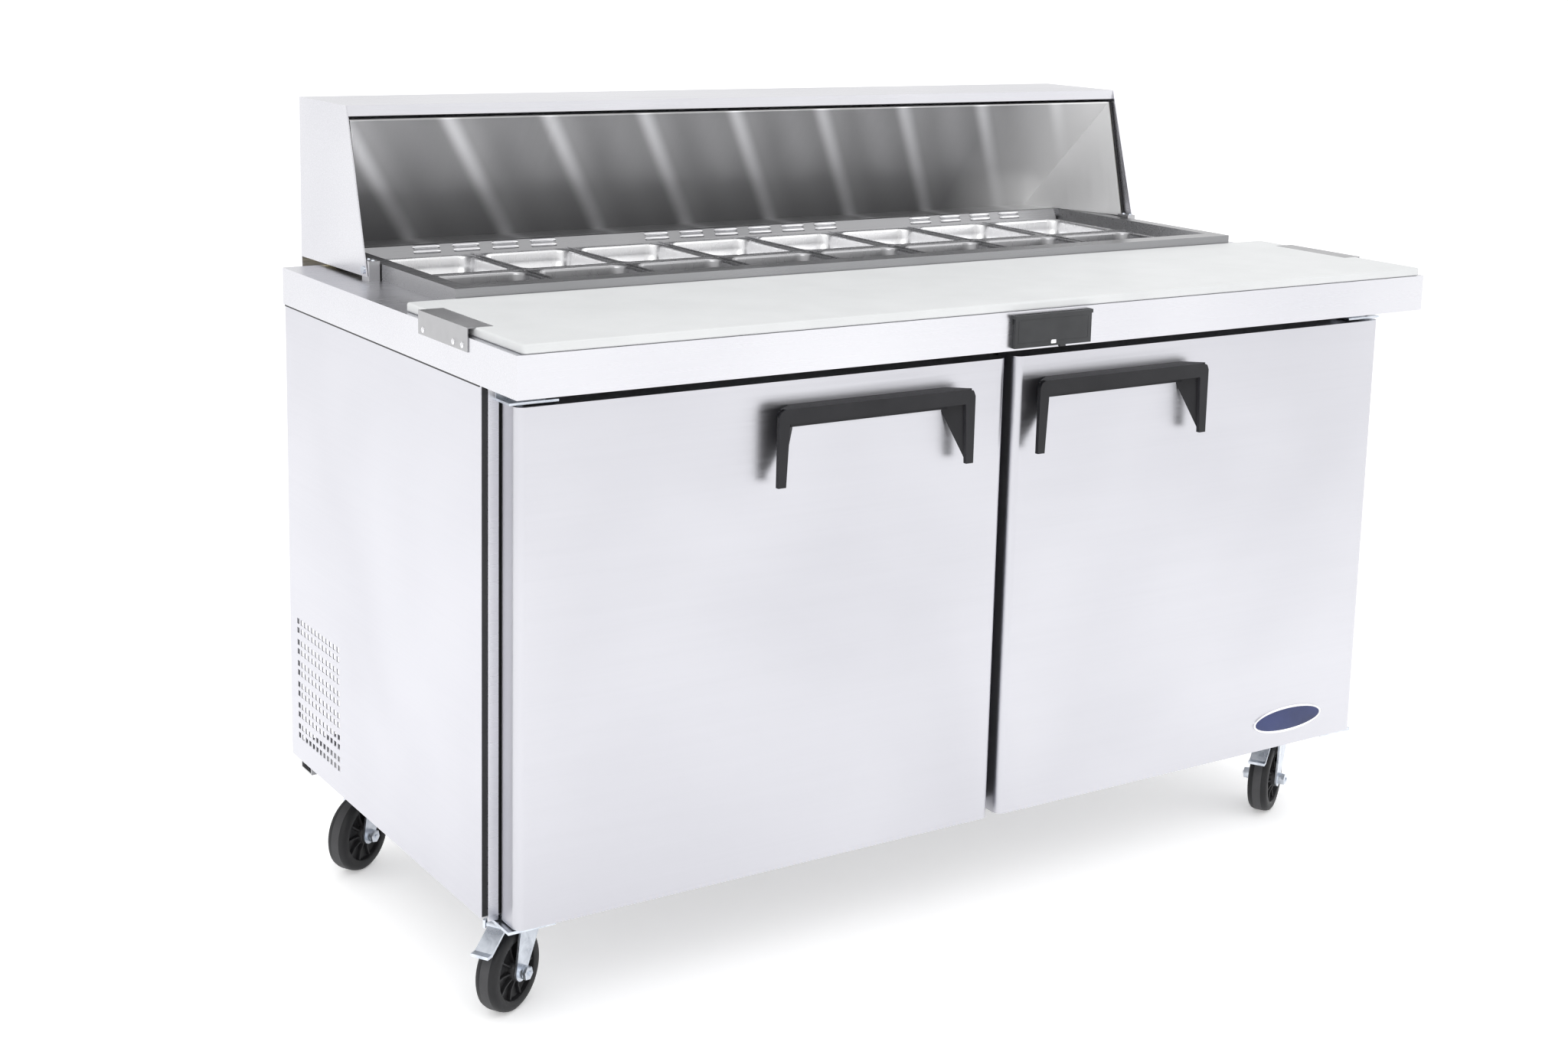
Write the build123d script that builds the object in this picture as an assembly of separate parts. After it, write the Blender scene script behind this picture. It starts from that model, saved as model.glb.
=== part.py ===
from build123d import *
import math
import os

os.makedirs("parts", exist_ok=True)

# Refrigerated sandwich prep table with a roll-back hood, in millimetres.
# While it is drawn, x = 0 is the middle of the table, y = 0 the front face of the worktop and
# z = 0 the floor, and y grows towards the back. save() moves each piece so that the origin is on
# the floor under the middle of the outer box.

# ---------------------------------------------------------------- driving dimensions
TOP_WIDTH = 1526.0
TOP_DEPTH = 762.0
TOP_Z = 887.0
APRON_HEIGHT = 53.0
SHEET = 1.5

BODY_HALF = 761.0
BODY_FRONT = 102.0
BODY_BACK = 758.8
BODY_BOTTOM = 155.0
WALL = 41.0
FRAME_DEPTH = 7.5
CAVITY_FLOOR = 197.0
STEP_FRONT = 520.0
STEP_BACK = 560.0
STEP_TOP = 438.0
UPPER_BACK = 728.0

DOOR_FACE = 55.0
DOOR_BACK = 97.0
DOOR_HALF = 735.0
DOOR_SPLIT = 12.0
DOOR_GAP = 16.0
DOOR_BOTTOM = 150.0
DOOR_TOP = 812.0
DOOR_CORNER = 12.0
GASKET_INSET = 12.0
GASKET_WIDTH = 14.0
GASKET_DEPTH = 4.6
HINGE_INSET = 13.0
HINGE_Y = 76.0
HINGE_PIN_R = 5.0
RUNNING_GAP = 0.05

HANDLE_WIDTH = 312.0
HANDLE_HEIGHT = 102.0
HANDLE_LEFT_X = -382.0
HANDLE_RIGHT_X = 42.0
HANDLE_TOP = DOOR_TOP - 31.0
HANDLE_FRONT = 28.0
HANDLE_SHEET = 6.0
HANDLE_SLANT = 31.0

COLLAR_HALF = 685.0
COLLAR_FRONT = 340.0
COLLAR_BACK = 754.0
COLLAR_Z = 911.0
LEDGE_Z = 893.0

PAN_COLUMNS = 8
PAN_PITCH = 161.0
PAN_RIM_X = 156.5
PAN_RIM_Y = 172.0
PAN_DEPTH = 147.0
PAN_SHEET = 1.0
PAN_RIM_TOP = 895.5
FRONT_ROW_Y = 461.5
REAR_ROW_Y = 642.5

BOARD_HALF = 755.0
BOARD_BACK = 338.5
BOARD_THICK = 12.0
BRACKET_SHEET = 1.2

HOOD_HALF = 705.0
HOOD_SHEET = 2.0
HOOD_FRONT = 660.0
HOOD_BACK = 840.0
HOOD_TOP = 1125.0
PIVOT_Y = 600.0
PIVOT_Z = 902.0
TAIL_SWEEP = 23.0
MOUTH_LOW_Y = 617.0
MOUTH_HIGH_Y = 664.0
LINER_LOW_Y = 812.0
CANOPY_HALF = 700.0
CANOPY_TOP = 1104.0
CANOPY_RADIUS = 226.5

WHEEL_R = 55.0
WHEEL_WIDTH = 32.0
CASTER_X = 675.0
CASTER_FRONT_Y = 165.0
CASTER_REAR_Y = 670.0
CASTER_TRAIL = 30.0
CASTER_TURN = 30.5
AXLE_R = 6.0

INLET_X = 650.0
INLET_Z = 470.0

CONTROL_LEFT = -36.0
CONTROL_RIGHT = 96.0
CONTROL_BOTTOM = 838.0
CONTROL_TOP = 883.0
COVER_FACE = -8.0

DEPTH_CENTRE = (COVER_FACE + HOOD_BACK) / 2


# ---------------------------------------------------------------- helpers
def block(x0, x1, y0, y1, z0, z1):
    """A box between two corners."""
    middle = Pos((x0 + x1) / 2, (y0 + y1) / 2, (z0 + z1) / 2)
    return middle * Box(x1 - x0, y1 - y0, z1 - z0)


def profile_along_x(points, x0, x1):
    """Extrude a closed (y, z) outline from x0 to x1."""
    face = Plane.YZ * make_face(Polyline(*points, close=True))
    return Pos(x0, 0, 0) * extrude(face, x1 - x0)


def profile_along_y(points, y0, y1):
    """Extrude a closed (x, z) outline from y0 to y1."""
    face = Plane.XZ * make_face(Polyline(*points, close=True))
    return Pos(0, y1, 0) * extrude(face, y1 - y0)


def plan(points, z0, z1):
    """Extrude a closed (x, y) outline from z0 to z1."""
    return Pos(0, 0, z0) * extrude(make_face(Polyline(*points, close=True)), z1 - z0)


def rod(start, end, radius):
    """A round bar between two points."""
    line = Vector(*end) - Vector(*start)
    place = Plane(origin=start, z_dir=line)
    return place * Cylinder(radius, line.length, align=(Align.CENTER, Align.CENTER, Align.MIN))


def both_sides(make):
    """The same piece on the left (-1) and on the right (+1), as two solids."""
    return [make(-1), make(1)]


def mirrored(side, x0, x1):
    """An x span measured outwards from the middle, on the given side."""
    return (x0, x1) if side > 0 else (-x1, -x0)


def join(pieces):
    """Fuse pieces that touch into one solid."""
    whole = pieces[0]
    for piece in pieces[1:]:
        whole = whole + piece
    return whole


def save(name, pieces):
    """Write one node: a single solid, or a list of separate ones."""
    group = pieces if isinstance(pieces, list) else [pieces]
    solids = []
    for piece in group:
        moved = Pos(0, -DEPTH_CENTRE, 0) * piece
        solids.extend(moved.solids())
    shape = solids[0] if len(solids) == 1 else Compound(children=solids)
    export_step(shape, f"parts/{name}.step")


# ---------------------------------------------------------------- cabinet
def side_panel(side):
    """Outer side sheet."""
    x0, x1 = mirrored(side, BODY_HALF - SHEET, BODY_HALF)
    return block(x0, x1, BODY_FRONT, BODY_BACK, BODY_BOTTOM, TOP_Z - SHEET)


def grille_holes():
    """Square holes in six pairs of rows and twelve columns, for the condenser air."""
    hole = 8.2
    columns = 12
    pairs = 6
    column_pitch = 14.0
    pair_pitch = 32.3
    row_gap = 13.9
    first_y = 568.0
    first_z = 189.0
    holes = []
    for column in range(columns):
        for pair in range(pairs):
            for row in range(2):
                y = first_y + column * column_pitch
                z = first_z + pair * pair_pitch + row * row_gap
                holes.append(block(-BODY_HALF - 1, -BODY_HALF + 3, y, y + hole, z, z + hole))
    return holes


def back_panel():
    """Back sheet, open over the machine compartment and bored for the cable inlet."""
    x_edge = BODY_HALF - SHEET - 0.2
    panel = block(-x_edge, x_edge, BODY_BACK - SHEET, BODY_BACK, BODY_BOTTOM + 1, TOP_Z - SHEET)
    bay = block(-745, 745, BODY_BACK - 3, BODY_BACK + 1, BODY_BOTTOM + 17, STEP_TOP - 46)
    bore = rod((INLET_X, BODY_BACK - 3, INLET_Z), (INLET_X, BODY_BACK + 1, INLET_Z), 11)
    return panel - bay - bore


def power_inlet():
    """Cable gland on the back panel: flange, threaded barrel and its open throat."""
    flange = rod((INLET_X, BODY_BACK, INLET_Z), (INLET_X, BODY_BACK + 3, INLET_Z), 16)
    nose = rod((INLET_X, BODY_BACK + 3, INLET_Z), (INLET_X, BODY_BACK + 16, INLET_Z), 11)
    throat = rod((INLET_X, BODY_BACK - 1, INLET_Z), (INLET_X, BODY_BACK + 17, INLET_Z), 5)
    return join([flange, nose]) - throat


def base_pan():
    """Bottom sheet of the cabinet with an open-ended channel across its back edge."""
    x_edge = BODY_HALF - SHEET - 0.2
    sheet = block(-x_edge, x_edge, BODY_FRONT, BODY_BACK - 1.8, BODY_BOTTOM, BODY_BOTTOM + 2)
    outer = block(-748, 748, 716, 756, BODY_BOTTOM - 24, BODY_BOTTOM)
    inner = block(-749, 749, 718, 754, BODY_BOTTOM - 22, BODY_BOTTOM - 2)
    return sheet + (outer - inner)


def canopy_profile():
    """Side outline of the fixed canopy: mouth line in front, round back about the hood pivot."""
    points = [(MOUTH_LOW_Y, COLLAR_Z + 0.3), (MOUTH_HIGH_Y, CANOPY_TOP)]
    for angle in (63, 50, 37, 24, 11):
        a = math.radians(angle)
        points.append((PIVOT_Y + CANOPY_RADIUS * math.cos(a), PIVOT_Z + CANOPY_RADIUS * math.sin(a)))
    points += [(826, 889), (COLLAR_BACK + 0.3, 889), (COLLAR_BACK + 0.3, COLLAR_Z + 0.3)]
    return points


def canopy_cavity(skin):
    """The hollow of the canopy with flat raked ends, grown outwards by skin."""
    front = 60.0
    wide = CANOPY_HALF - 3 + skin
    narrow = CANOPY_HALF - 60 + skin
    low = COLLAR_Z + 0.3
    high = CANOPY_TOP - 1.5 + skin
    rise = (MOUTH_HIGH_Y - MOUTH_LOW_Y) / (CANOPY_TOP - low)
    mouth = [(MOUTH_LOW_Y - front, low - skin), (MOUTH_HIGH_Y - front - rise * 1.5, high)]
    side = profile_along_x(
        [mouth[0], (MOUTH_LOW_Y, low - skin), (LINER_LOW_Y + skin, low - skin),
         (MOUTH_HIGH_Y + skin, high), mouth[1]], -wide, wide)
    cutters = []
    for hand in (-1, 1):
        ridge = Vector(hand * wide, MOUTH_LOW_Y, low - skin)
        crown = Vector(hand * wide, MOUTH_HIGH_Y, high)
        foot = Vector(hand * narrow, LINER_LOW_Y + skin, low - skin)
        normal = (crown - ridge).cross(foot - ridge).normalized() * hand * -1
        if normal.X * hand < 0:
            normal = normal * -1
        plane = Plane(origin=ridge, z_dir=normal)
        cutters.append(plane * Box(1200, 1200, 400, align=(Align.CENTER, Align.CENTER, Align.MIN)))
    body = side
    for cutter in cutters:
        body = body - (cutter & block(-800, 800, MOUTH_LOW_Y + 0.2, 900, 800, 1200))
    return body


def insulation():
    """Foam of the side walls, of the floor, step and back, under the worktop, and in the canopy."""
    inner = BODY_HALF - SHEET - WALL
    outer = BODY_HALF - SHEET
    y0 = BODY_FRONT + FRAME_DEPTH
    y1 = BODY_BACK - SHEET
    z0 = BODY_BOTTOM + 2
    z1 = TOP_Z - SHEET
    wall = [(y0, z0), (STEP_BACK, z0), (STEP_BACK, STEP_TOP - 40), (y1, STEP_TOP - 40), (y1, z1), (y0, z1)]
    walls = both_sides(lambda side: profile_along_x(wall, *mirrored(side, inner, outer)))
    step = profile_along_x(
        [(y0, z0), (STEP_BACK, z0), (STEP_BACK, STEP_TOP - 40), (y1, STEP_TOP - 40), (y1, z1),
         (UPPER_BACK, z1), (UPPER_BACK, STEP_TOP), (STEP_FRONT, STEP_TOP), (STEP_FRONT, CAVITY_FLOOR),
         (y0, CAVITY_FLOOR)], -inner, inner)
    lid = block(-716, 716, y0 + 0.5, 371, 838, z1)
    bars = both_sides(lambda side: block(*mirrored(side, 660, 716), 371, 722, 838, z1))
    body = profile_along_x(canopy_profile(), -CANOPY_HALF, CANOPY_HALF)
    return walls + [step, join([lid] + bars), body - canopy_cavity(SHEET)]


def interior_liner():
    """Thin lining of the cold space, open at the front and under the pans."""
    half = BODY_HALF - SHEET - WALL
    skin = 1.2
    y0 = BODY_FRONT + FRAME_DEPTH
    z1 = TOP_Z - SHEET
    outer = profile_along_x(
        [(y0, CAVITY_FLOOR), (STEP_FRONT, CAVITY_FLOOR), (STEP_FRONT, STEP_TOP), (UPPER_BACK, STEP_TOP),
         (UPPER_BACK, z1), (y0, z1)], -half, half)
    inner = profile_along_x(
        [(y0 - 5, CAVITY_FLOOR + skin), (STEP_FRONT - skin, CAVITY_FLOOR + skin),
         (STEP_FRONT - skin, STEP_TOP + skin), (UPPER_BACK - skin, STEP_TOP + skin),
         (UPPER_BACK - skin, z1 + 5), (y0 - 5, z1 + 5)], -half + skin, half - skin)
    return outer - inner


def front_frame():
    """Face frame around the two door openings, with the middle post."""
    half = BODY_HALF - SHEET
    whole = block(-half, half, BODY_FRONT, BODY_FRONT + FRAME_DEPTH, BODY_BOTTOM + 2, TOP_Z - SHEET)
    post = DOOR_GAP / 2 + GASKET_INSET + GASKET_WIDTH + 2
    left = block(-716, DOOR_SPLIT - post, BODY_FRONT - 1, BODY_FRONT + 9, 198.2, 784)
    right = block(DOOR_SPLIT + post, 716, BODY_FRONT - 1, BODY_FRONT + 9, 198.2, 784)
    return whole - left - right


SHELF_Z = 470.0


def wire_shelf(x0, x1):
    """One wire shelf: a square rim and bars running front to back."""
    y0 = 125.0
    y1 = 505.0
    z = SHELF_Z
    rim = block(x0 - 3, x1 + 3, y0 - 3, y1 + 3, z - 3, z + 3)
    rim = rim - block(x0 + 3, x1 - 3, y0 + 3, y1 - 3, z - 4, z + 4)
    wires = []
    count = 15
    for index in range(1, count):
        x = x0 + (x1 - x0) * index / count
        wires.append(block(x - 2, x + 2, y0 - 2, y1 + 2, z + 1, z + 5))
    return join([rim] + wires)


def shelf_posts():
    """Upright strips at the side walls and in the middle, each with a clip under a shelf."""
    wall = BODY_HALF - SHEET - WALL - 1.2
    low = CAVITY_FLOOR + 1.2
    clip_top = SHELF_Z - 3
    posts = []
    for y in (160, 470):
        for side in (-1, 1):
            strip = block(*mirrored(side, wall - 3, wall), y - 8, y + 8, low, 735)
            clip = block(*mirrored(side, wall - 16, wall - 3), y - 8, y + 8, clip_top - 4, clip_top)
            posts.append(strip + clip)
        strip = block(DOOR_SPLIT - 6, DOOR_SPLIT + 6, y - 8, y + 8, low, 735)
        clip = block(DOOR_SPLIT - 50, DOOR_SPLIT + 50, y - 8, y + 8, clip_top - 4, clip_top)
        posts.append(strip + clip)
    return posts


# ---------------------------------------------------------------- worktop
def countertop():
    """Folded worktop sheet with an opening for the pans and a window for the controller."""
    half = TOP_WIDTH / 2
    z0 = TOP_Z - APRON_HEIGHT
    outer = block(-half, half, 0, TOP_DEPTH, z0, TOP_Z)
    inner = block(-half + SHEET, half - SHEET, SHEET, TOP_DEPTH - SHEET, z0 - 1, TOP_Z - SHEET)
    opening = block(-672, 672, 352, 748, TOP_Z - 5, TOP_Z + 5)
    window = block(CONTROL_LEFT + 6, CONTROL_RIGHT - 6, -1, 3, CONTROL_BOTTOM + 4, CONTROL_TOP - 4)
    return outer - inner - opening - window


def pan_collar():
    """Raised rim round the pans, with sloping inner sides and a ledge that carries the bars."""
    ring = block(-COLLAR_HALF, COLLAR_HALF, COLLAR_FRONT, COLLAR_BACK, TOP_Z, COLLAR_Z)
    low = Pos(0, (374 + 744) / 2, LEDGE_Z) * Rectangle(1300, 744 - 374)
    high = Pos(0, (372 + 744) / 2, COLLAR_Z) * Rectangle(1324, 744 - 372)
    pocket = loft([low, high])
    ledge = block(-638, 638, 380, 724, TOP_Z - 1, LEDGE_Z + 1)
    return ring - pocket - ledge


def louvre_plate():
    """Sloping plate behind the pans with three groups of paired air slots."""
    plate = profile_along_x(
        [(731.6, LEDGE_Z), (741.6, COLLAR_Z), (742.8, COLLAR_Z), (732.8, LEDGE_Z)], -649, 649)
    groups = [(-571, 4), (-181, 6), (333, 4)]
    slots = []
    for first_x, count in groups:
        for index in range(count):
            x = first_x + index * 64
            for z in (LEDGE_Z + 6, LEDGE_Z + 12.5):
                slots.append(block(x, x + 42, 725, 750, z, z + 2.6))
    return plate - slots


def divider_bars():
    """The bar between the two rows and the short bars between neighbouring pans."""
    row_y = (FRONT_ROW_Y + REAR_ROW_Y) / 2
    flange_z = LEDGE_Z + 1.2
    web_z = LEDGE_Z + 3.6
    row = join([
        block(-649, 649, row_y - 9, row_y + 9, LEDGE_Z, flange_z),
        block(-649, 649, row_y - 3, row_y + 3, LEDGE_Z, web_z)])
    bars = [row]
    for column in range(1, PAN_COLUMNS):
        x = (column - PAN_COLUMNS / 2) * PAN_PITCH
        for y0, y1 in ((375, row_y - 9), (row_y + 9, 730)):
            bars.append(join([
                block(x - 7.5, x + 7.5, y0, y1, LEDGE_Z, flange_z),
                block(x - 1.5, x + 1.5, y0, y1, LEDGE_Z, web_z)]))
    return bars


def pan(column, row_y):
    """One sixth-size food pan: rim, tapered sides and rounded corners, open at the top."""
    x = (column - (PAN_COLUMNS - 1) / 2) * PAN_PITCH
    rim_bottom = PAN_RIM_TOP - PAN_SHEET
    rim = Pos(x, row_y, rim_bottom) * extrude(RectangleRounded(PAN_RIM_X, PAN_RIM_Y, 9), PAN_SHEET)
    top = Pos(x, row_y, rim_bottom) * RectangleRounded(144, 160, 22)
    bottom = Pos(x, row_y, rim_bottom - PAN_DEPTH) * RectangleRounded(126, 142, 22)
    body = loft([bottom, top])
    in_top = Pos(x, row_y, PAN_RIM_TOP) * RectangleRounded(142, 158, 21)
    in_bottom = Pos(x, row_y, rim_bottom - PAN_DEPTH + PAN_SHEET) * RectangleRounded(124, 140, 21)
    return rim + body - loft([in_bottom, in_top])


def cutting_board():
    """White board that lies on the front of the worktop, recessed for its two end angles."""
    top = TOP_Z + BOARD_THICK
    board = block(-BOARD_HALF, BOARD_HALF, 0.5, BOARD_BACK, TOP_Z + 0.05, top)
    board = fillet(board.edges().filter_by(Axis.Z), 6)
    nose = board.edges().filter_by(Axis.X).sort_by(Axis.Y)[0:2]
    board = fillet(nose, 3)
    for side in (-1, 1):
        x0, x1 = mirrored(side, 730, 760)
        board = board - block(x0, x1, 130, 278, top - BRACKET_SHEET, top + 1)
    return board


def board_bracket(side):
    """Angle over one end of the cutting board, with its outer leg beside the worktop."""
    top = TOP_Z + BOARD_THICK
    leg = block(*mirrored(side, 763.3, 763.3 + BRACKET_SHEET), 131, 277, top - 30, top)
    flange = block(*mirrored(side, 731, 763.3 + BRACKET_SHEET), 131, 277, top - BRACKET_SHEET, top)
    return leg + flange


# ---------------------------------------------------------------- hood
def canopy_liner():
    """Steel lining of the fixed canopy with its raked ends."""
    wedge = profile_along_x(canopy_profile(), -CANOPY_HALF, CANOPY_HALF)
    return (wedge & canopy_cavity(SHEET)) - canopy_cavity(0)


def pivot_bracket(side):
    """Block beside the collar that carries one hood pivot pin."""
    x0, x1 = mirrored(side, COLLAR_HALF + 1.5, HOOD_HALF - HOOD_SHEET - 0.6)
    body = block(x0, x1, PIVOT_Y - 13, PIVOT_Y + 13, TOP_Z, PIVOT_Z + 13)
    bore = rod((x0 - 1, PIVOT_Y, PIVOT_Z), (x1 + 1, PIVOT_Y, PIVOT_Z), 4 + RUNNING_GAP)
    return body - bore


def pivot_pin(side):
    """Shouldered pin, fast in the hood cheek and free in its bracket."""
    x0, x1 = mirrored(side, COLLAR_HALF + 2.5, HOOD_HALF + 0.5)
    shank = rod((x0, PIVOT_Y, PIVOT_Z), (x1, PIVOT_Y, PIVOT_Z), 4)
    h0, h1 = mirrored(side, HOOD_HALF, HOOD_HALF + 2.5)
    head = rod((h0, PIVOT_Y, PIVOT_Z), (h1, PIVOT_Y, PIVOT_Z), 5.5)
    return shank + head


def hood_cheek(side):
    """Side sheet of the hood, with the pivot bore in its low front corner."""
    x0, x1 = mirrored(side, HOOD_HALF - HOOD_SHEET, HOOD_HALF)
    outline = [(PIVOT_Y - 10, PIVOT_Z - 9), (HOOD_FRONT, HOOD_TOP), (HOOD_BACK, HOOD_TOP),
               (HOOD_BACK, PIVOT_Z - 12), (PIVOT_Y + 8, PIVOT_Z - 9)]
    bore = rod((x0 - 1, PIVOT_Y, PIVOT_Z), (x1 + 1, PIVOT_Y, PIVOT_Z), 4)
    return profile_along_x(outline, x0, x1) - bore


def hood_tail():
    """Curved strip below the back of the hood that bridges the top gap when it is closed."""
    outer_r = HOOD_BACK - PIVOT_Y
    inner_r = outer_r - HOOD_SHEET
    start = -2.8
    steps = 6
    outer = []
    inner = []
    for index in range(steps + 1):
        a = math.radians(start - TAIL_SWEEP * index / steps)
        outer.append((PIVOT_Y + outer_r * math.cos(a), PIVOT_Z + outer_r * math.sin(a)))
        inner.append((PIVOT_Y + inner_r * math.cos(a), PIVOT_Z + inner_r * math.sin(a)))
    return profile_along_x(outer + inner[::-1], -HOOD_HALF, HOOD_HALF)


def hood_shell():
    """Moving hood: top, back, two cheeks, front lip and tail, folded from one sheet."""
    top = block(-HOOD_HALF, HOOD_HALF, HOOD_FRONT, HOOD_BACK, HOOD_TOP - HOOD_SHEET, HOOD_TOP)
    back = block(-HOOD_HALF, HOOD_HALF, HOOD_BACK - HOOD_SHEET, HOOD_BACK, PIVOT_Z - 12, HOOD_TOP)
    lip = block(-HOOD_HALF, HOOD_HALF, HOOD_FRONT, HOOD_FRONT + HOOD_SHEET, HOOD_TOP - 15, HOOD_TOP)
    return join([top, back, lip, hood_cheek(-1), hood_cheek(1), hood_tail()])


# ---------------------------------------------------------------- doors
def door_span(side):
    """x of the two edges of a door."""
    if side < 0:
        return -DOOR_HALF, DOOR_SPLIT - DOOR_GAP / 2
    return DOOR_SPLIT + DOOR_GAP / 2, DOOR_HALF


def hinge_bores(side):
    """The two blind holes of a door, for the hinge pins."""
    x = side * (DOOR_HALF - HINGE_INSET)
    radius = HINGE_PIN_R + RUNNING_GAP
    top = rod((x, HINGE_Y, DOOR_TOP - 17), (x, HINGE_Y, DOOR_TOP + 1), radius)
    bottom = rod((x, HINGE_Y, DOOR_BOTTOM - 1), (x, HINGE_Y, DOOR_BOTTOM + 17), radius)
    return [top, bottom]


def door_envelope(side, inset, back):
    """Door body with rounded upright front corners, drawn in by inset."""
    x0, x1 = door_span(side)
    body = block(x0 + inset, x1 - inset, DOOR_FACE + inset, back,
                 DOOR_BOTTOM + inset, DOOR_TOP - inset)
    front = body.edges().filter_by(Axis.Z).group_by(Axis.Y)[0]
    return fillet(front, DOOR_CORNER - inset)


def door_skin(side):
    """Outer stainless pan of a door."""
    shell = door_envelope(side, 0, DOOR_BACK) - door_envelope(side, 1.0, DOOR_BACK + 5)
    return shell - hinge_bores(side)


def door_core(side):
    """Foam and inner lining of a door."""
    return door_envelope(side, 1.0, DOOR_BACK) - hinge_bores(side)


def door_gasket(side):
    """Magnetic gasket ring on the back of a door."""
    x0, x1 = door_span(side)
    y0 = DOOR_BACK
    y1 = DOOR_BACK + GASKET_DEPTH
    i = GASKET_INSET
    w = GASKET_INSET + GASKET_WIDTH
    outer = block(x0 + i, x1 - i, y0, y1, DOOR_BOTTOM + i, DOOR_TOP - i)
    inner = block(x0 + w, x1 - w, y0 - 1, y1 + 1, DOOR_BOTTOM + w, DOOR_TOP - w)
    return outer - inner


def door_handle(side):
    """Pull handle: a U-shaped front plate, two slanting webs, a top plate and a back plate."""
    x0 = HANDLE_LEFT_X if side < 0 else HANDLE_RIGHT_X
    x1 = x0 + HANDLE_WIDTH
    front = HANDLE_FRONT
    behind = HANDLE_FRONT + HANDLE_SHEET
    top = HANDLE_TOP
    low = HANDLE_TOP - HANDLE_HEIGHT
    back_low = top - 29
    outline = [(x0, low), (x0, top - 10), (x0 + 3, top - 3), (x0 + 10, top), (x1 - 10, top),
               (x1 - 3, top - 3), (x1, top - 10), (x1, low), (x1 - 12, low),
               (x1 - 16, top - 20), (x0 + 16, top - 20), (x0 + 12, low)]
    plate = profile_along_y(outline, front, behind)
    shelf = plan([(x0 + 3, behind - 1), (x1 - 3, behind - 1), (x1 - HANDLE_SLANT, DOOR_FACE),
                  (x0 + HANDLE_SLANT, DOOR_FACE)], top - 5, top)
    back = block(x0 + HANDLE_SLANT, x1 - HANDLE_SLANT, DOOR_FACE - 5, DOOR_FACE, back_low, top)
    below = profile_along_x([(front, low - 1), (behind, low), (DOOR_FACE + 1, back_low),
                             (DOOR_FACE + 1, low - 1)], x0 - 1, x1 + 1)
    webs = []
    for edge, inward in ((x0, 1), (x1, -1)):
        web = plan([(edge, behind - 1), (edge + inward * 6, behind - 1),
                    (edge + inward * (HANDLE_SLANT + 6), DOOR_FACE),
                    (edge + inward * HANDLE_SLANT, DOOR_FACE)], low, top - 3)
        webs.append(web - below)
    return join([plate, shelf, back] + webs)


def hinge_brackets():
    """Top and bottom hinge plates of both doors, each with its pin."""
    pieces = []
    for side in (-1, 1):
        pin_x = side * (DOOR_HALF - HINGE_INSET)
        span = mirrored(side, 676, 742)
        top_z = DOOR_TOP + 2
        low_z = DOOR_BOTTOM - 2
        top_plate = block(*span, 63, BODY_FRONT, top_z, top_z + 3)
        top_leg = block(*span, BODY_FRONT - 3, BODY_FRONT, top_z, top_z + 30)
        low_plate = block(*span, 63, 122, low_z - 4, low_z)
        low_leg = block(*span, 118, 122, low_z, BODY_BOTTOM)
        pieces.append(top_plate + top_leg)
        pieces.append(low_plate + low_leg)
        pieces.append(rod((pin_x, HINGE_Y, DOOR_TOP - 15), (pin_x, HINGE_Y, top_z), HINGE_PIN_R))
        pieces.append(rod((pin_x, HINGE_Y, low_z), (pin_x, HINGE_Y, DOOR_BOTTOM + 15), HINGE_PIN_R))
    return pieces


# ---------------------------------------------------------------- controller
COVER_AXIS_Y = -5.8
COVER_AXIS_Z = CONTROL_TOP - 2.2


def controller_housing():
    """Thermostat body in the worktop apron, with its face plate and two hinge ears."""
    face = block(CONTROL_LEFT, CONTROL_RIGHT, -3, 0, CONTROL_BOTTOM, CONTROL_TOP)
    body = block(CONTROL_LEFT + 6.5, CONTROL_RIGHT - 6.5, -3, 42, CONTROL_BOTTOM + 4.5, CONTROL_TOP - 4.5)
    pieces = [face, body]
    bores = []
    for edge, outward in ((CONTROL_LEFT, -1), (CONTROL_RIGHT, 1)):
        near = edge + outward * 0.4
        far = edge + outward * 2.2
        pieces.append(block(min(near, far), max(near, far), COVER_FACE, 0, CONTROL_TOP - 5, CONTROL_TOP))
        pieces.append(block(min(edge, far), max(edge, far), -3, 0, CONTROL_TOP - 12, CONTROL_TOP))
        start = (edge - 3, COVER_AXIS_Y, COVER_AXIS_Z)
        end = (edge + 3, COVER_AXIS_Y, COVER_AXIS_Z)
        bores.append(rod(start, end, 1.2 + RUNNING_GAP))
    return join(pieces) - bores


def controller_cover():
    """Flap over the controller, with stub pins at its top corners and a finger tab below."""
    flap = block(CONTROL_LEFT, CONTROL_RIGHT, COVER_FACE, -3.6, CONTROL_BOTTOM, CONTROL_TOP - 0.6)
    tab = block(42, 52, COVER_FACE, -4, CONTROL_BOTTOM - 2.5, CONTROL_BOTTOM)
    stubs = []
    for x0, x1 in ((CONTROL_LEFT - 2.0, CONTROL_LEFT), (CONTROL_RIGHT, CONTROL_RIGHT + 2.0)):
        stubs.append(rod((x0, COVER_AXIS_Y, COVER_AXIS_Z), (x1, COVER_AXIS_Y, COVER_AXIS_Z), 1.2))
    return join([flap, tab] + stubs)


# ---------------------------------------------------------------- casters
CASTERS = {
    "front_left": (-CASTER_X, CASTER_FRONT_Y),
    "front_right": (CASTER_X, CASTER_FRONT_Y),
    "rear_left": (-CASTER_X, CASTER_REAR_Y),
    "rear_right": (CASTER_X, CASTER_REAR_Y),
}


def place_caster(name, piece):
    """Turn a caster piece to its parked angle and put it under its corner."""
    x, y = CASTERS[name]
    return Pos(x, y, 0) * Rot(0, 0, CASTER_TURN) * piece


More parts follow.
